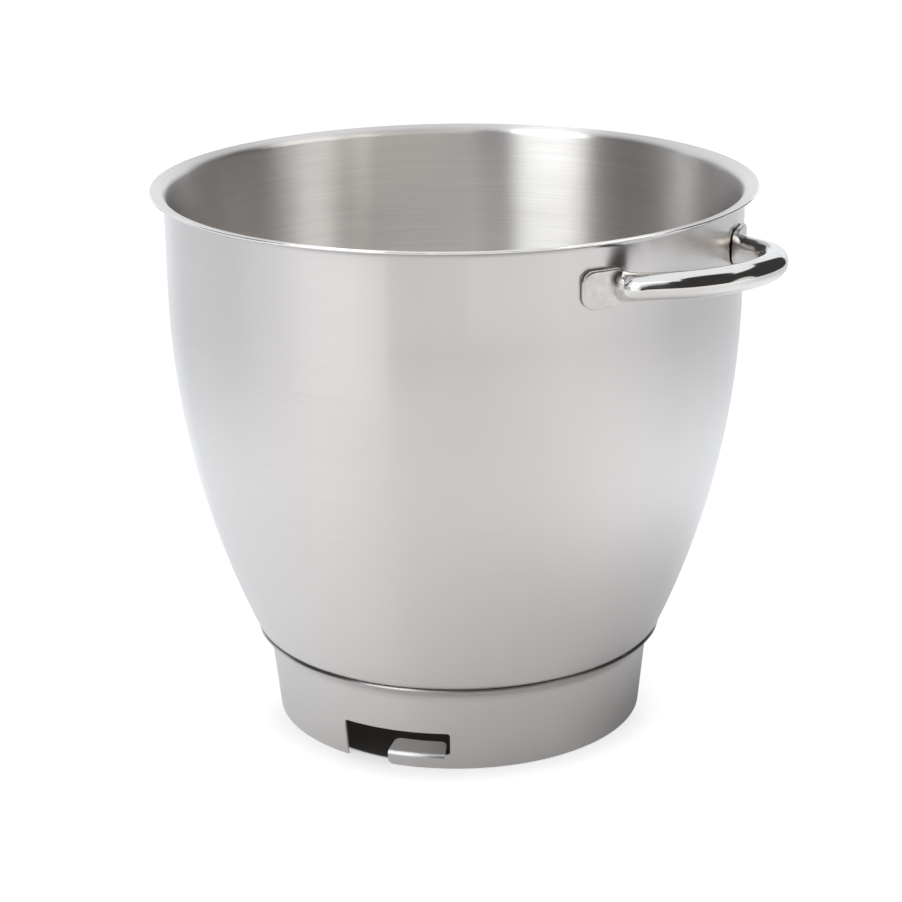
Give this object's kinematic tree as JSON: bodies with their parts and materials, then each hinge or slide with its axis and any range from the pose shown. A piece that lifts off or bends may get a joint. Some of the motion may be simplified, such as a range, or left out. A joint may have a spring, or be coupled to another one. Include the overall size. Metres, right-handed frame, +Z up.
{
  "type": "stand mixer bowl",
  "caption": "Deep brushed steel mixing bowl with a flared rim, a side handle and a slotted bayonet base ring.",
  "frame": {"origin": "on the bowl's axis, in the plane that the base ring stands on", "axes": "+Z up along the bowl's axis, out of its mouth; +X towards the middle of the handle"},
  "size_m": [0.2737, 0.244, 0.2236],
  "materials": {
    "bowl_steel": "brushed round the bowl",
    "ring_steel": "brushed round the ring",
    "handle_steel": "mirror polished steel"
  },
  "bodies": {
    "root": {"bowl": "bowl_steel", "base_ring": "ring_steel", "handle": "handle_steel"}
  },
  "joints": []
}
